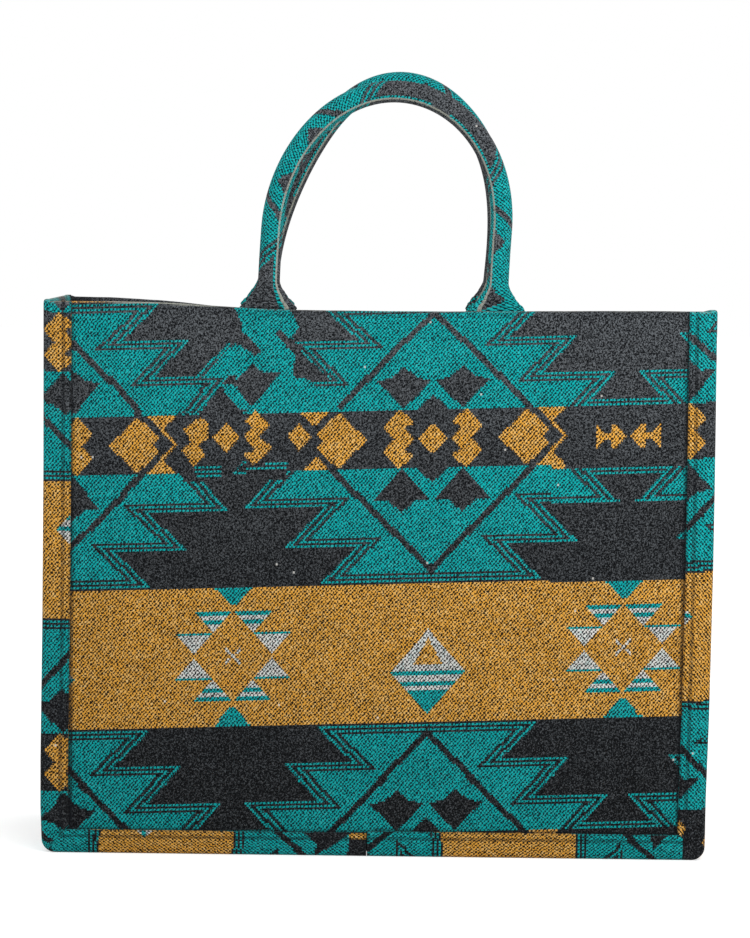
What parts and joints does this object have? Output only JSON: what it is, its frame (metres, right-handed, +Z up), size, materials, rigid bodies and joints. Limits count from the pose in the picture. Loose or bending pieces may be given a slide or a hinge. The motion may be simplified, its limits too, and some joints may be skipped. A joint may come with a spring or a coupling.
{
  "type": "handbag",
  "caption": "Structured open-top tote handbag of patterned cloth with a folded border round front and back and two rolled handles.",
  "frame": {"origin": "on the ground, under the middle of the bag", "axes": "+Z up through the open top, -Y out of the front panel, +X to the right seen from the front"},
  "size_m": [0.41, 0.155, 0.4835],
  "materials": {
    "bag_cloth": "coarse two-faced patterned weave in teal, ochre, charcoal and ecru yarns",
    "lining_cloth": "plain-weave undyed cotton",
    "rope": "twisted cotton rope",
    "board": "matt stiffener board"
  },
  "bodies": {
    "root": {"front_panel": "bag_cloth", "back_panel": "bag_cloth", "gusset_left": "bag_cloth", "gusset_right": "bag_cloth", "front_handle_cover": "bag_cloth", "back_handle_cover": "bag_cloth", "lining": "lining_cloth", "front_handle_core": "rope", "back_handle_core": "rope", "base_board": "board"}
  },
  "joints": []
}
